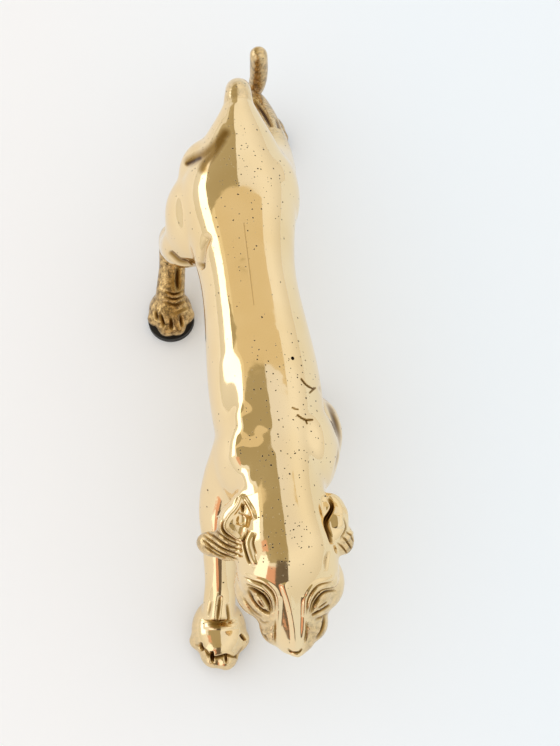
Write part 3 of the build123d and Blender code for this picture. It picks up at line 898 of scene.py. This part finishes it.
plugDiscs = {
    "places": [(10.0, -27.0, 73.5), (3.4, -6.5, 40.0), (-4.3, -21.5, 37.0)],
    "radius": 0.65, "length": 1.6, "sunk": 0.72,
}
halves = [castings["body_shell_right"], castings["body_shell_left"]]
skins = np.concatenate([np.hstack(pointsOf(half)) for half in halves])
plugs = []
for middle in plugDiscs["places"]:
    # each plug sits in the nearest skin, square to it
    nearest = skins[np.argmin(np.linalg.norm(skins[:, :3] - np.array(middle), axis=1))]
    bpy.ops.mesh.primitive_cylinder_add(
        vertices=24, radius=plugDiscs["radius"] * mm, depth=plugDiscs["length"] * mm,
        location=at(*(nearest[:3] - nearest[3:] * plugDiscs["sunk"])))
    plug = bpy.context.view_layer.objects.active
    plug.rotation_euler = Vector(nearest[3:]).to_track_quat("Z", "Y").to_euler()
    plugs.append(plug)
corePlugs = joinAll(plugs, "corePlugDiscs")
corePlugs.data.materials.append(plugBrass)
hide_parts("core_plugs")
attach(corePlugs, "root")

for name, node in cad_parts.items():
    if name.endswith("_pad"):
        node.data.materials.clear()
        node.data.materials.append(padRubber)
    elif name == "seam_dowels":
        node.data.materials.clear()
        node.data.materials.append(polishedBrass)


def layTable():
    # matt white table paper: pale, glowing faintly, a little cooler on the right, where cool light is painted
    # into its colour
    bpy.ops.mesh.primitive_plane_add(size=6.0, location=(0, 0, 0))
    table = bpy.context.view_layer.objects.active
    table.name = "table"
    material, tree, shader = newMaterial("paleTablePaper")
    where = addNode(tree, "ShaderNodeTexCoord").outputs["Object"]
    sideways = addNode(tree, "ShaderNodeSeparateXYZ", [("Vector", where)])
    tint = mixColour(tree, ramped(tree, sideways.outputs["X"], -0.08, 0.1), "#f7f6f6", "#f1f7fc")
    tree.links.new(tint, shader.inputs["Base Color"])
    tree.links.new(tint, shader.inputs["Emission Color"])
    shader.inputs["Emission Strength"].default_value = 0.05
    shader.inputs["Roughness"].default_value = 0.7
    table.data.materials.append(material)


def lightRoom():
    # soft even light from a pale room, greyer near the floor
    world = bpy.data.worlds.new("paleRoom")
    bpy.context.scene.world = world
    world.use_nodes = True
    tree = world.node_tree
    heading = addNode(tree, "ShaderNodeTexCoord").outputs["Generated"]
    parts = addNode(tree, "ShaderNodeSeparateXYZ", [("Vector", heading)])
    wall = mixColour(tree, ramped(tree, parts.outputs["Z"], -0.05, 0.45), "#e2e1dd", "#faf9f5")
    sky = mixColour(tree, ramped(tree, parts.outputs["Z"], 0.6, 0.95), wall, "#eeeef0")
    background = tree.nodes["Background"]
    tree.links.new(sky, background.inputs["Color"])
    background.inputs["Strength"].default_value = 1.06


def hangCard(name, middle, wide, high, turn, colour, strength):
    # a plain cloth-covered card that is seen only in the brass
    bpy.ops.mesh.primitive_plane_add(size=mm, location=at(*middle), rotation=(math.radians(turn), 0, 0))
    card = bpy.context.view_layer.objects.active
    card.name = name
    card.scale = (wide, high, 1)
    bpy.ops.object.transform_apply(location=False, rotation=False, scale=True)
    material, _, shader = newMaterial(name + "Cloth")
    shader.inputs["Base Color"].default_value = (0, 0, 0, 1)
    shader.inputs["Emission Color"].default_value = toLinear(colour)
    shader.inputs["Emission Strength"].default_value = strength
    card.data.materials.append(material)
    card.visible_camera = False
    card.visible_diffuse = False
    card.visible_shadow = False


levelCards = [  # name, one corner and the other (x, y), height, colour, strength
    ("phoneShade", (-540, 100), (500, 300), 560, "#e4d5b4", 1.0),
    ("phoneEdge", (-760, 100), (-540, 300), 560, "#f3e8ca", 1.0),
    ("backWallShade", (-1000, 300), (40, 4000), 560, "#b0a37f", 1.0),
    ("armShade", (-560, -1000), (30, 100), 560, "#b0a37f", 1.0),
    ("windowStrip", (-2000, -200), (-780, 1400), 558, "#f6faff", 2.2),
    ("handShade", (-420, -880), (-150, -500), 2, "#e3ad92", 1.0),
    ("sleeveShade", (-150, -890), (-12, -470), 2, "#5b534a", 1.0),
    ("palmShade", (-680, -560), (-430, -260), 556, "#eab79c", 1.0),
]
screenY = -900
uprightCards = [  # name, from x, to x, top, colour, strength
    ("figureShade", -270, -10, 560, "#6a5f53", 1.0),
    ("faceShade", -500, -270, 420, "#e6ad94", 1.0),
    ("shirtShade", -1100, -500, 700, "#ffffff", 1.35),
]
view = {"lens": 53.807, "frameHigh": 36.0}  # mm

bpy.context.scene.view_settings.view_transform = "Standard"
layTable()
lightRoom()
for name, (x0, y0), (x1, y1), height, colour, strength in levelCards:
    hangCard(name, ((x0 + x1) / 2, (y0 + y1) / 2, height), x1 - x0, y1 - y0, 0, colour, strength)
for name, x0, x1, top, colour, strength in uprightCards:
    hangCard(name, ((x0 + x1) / 2, screenY, top / 2), x1 - x0, top, 90, colour, strength)
bpy.ops.object.camera_add(location=at(*eye), rotation=Vector(forward).to_track_quat("-Z", "Y").to_euler())
camera = bpy.context.view_layer.objects.active
camera.name = "camera"
camera.data.sensor_fit = "VERTICAL"
camera.data.sensor_height = view["frameHigh"]
camera.data.lens = view["lens"]
camera.data.clip_start = 0.01
bpy.context.scene.camera = camera
print("stage set")
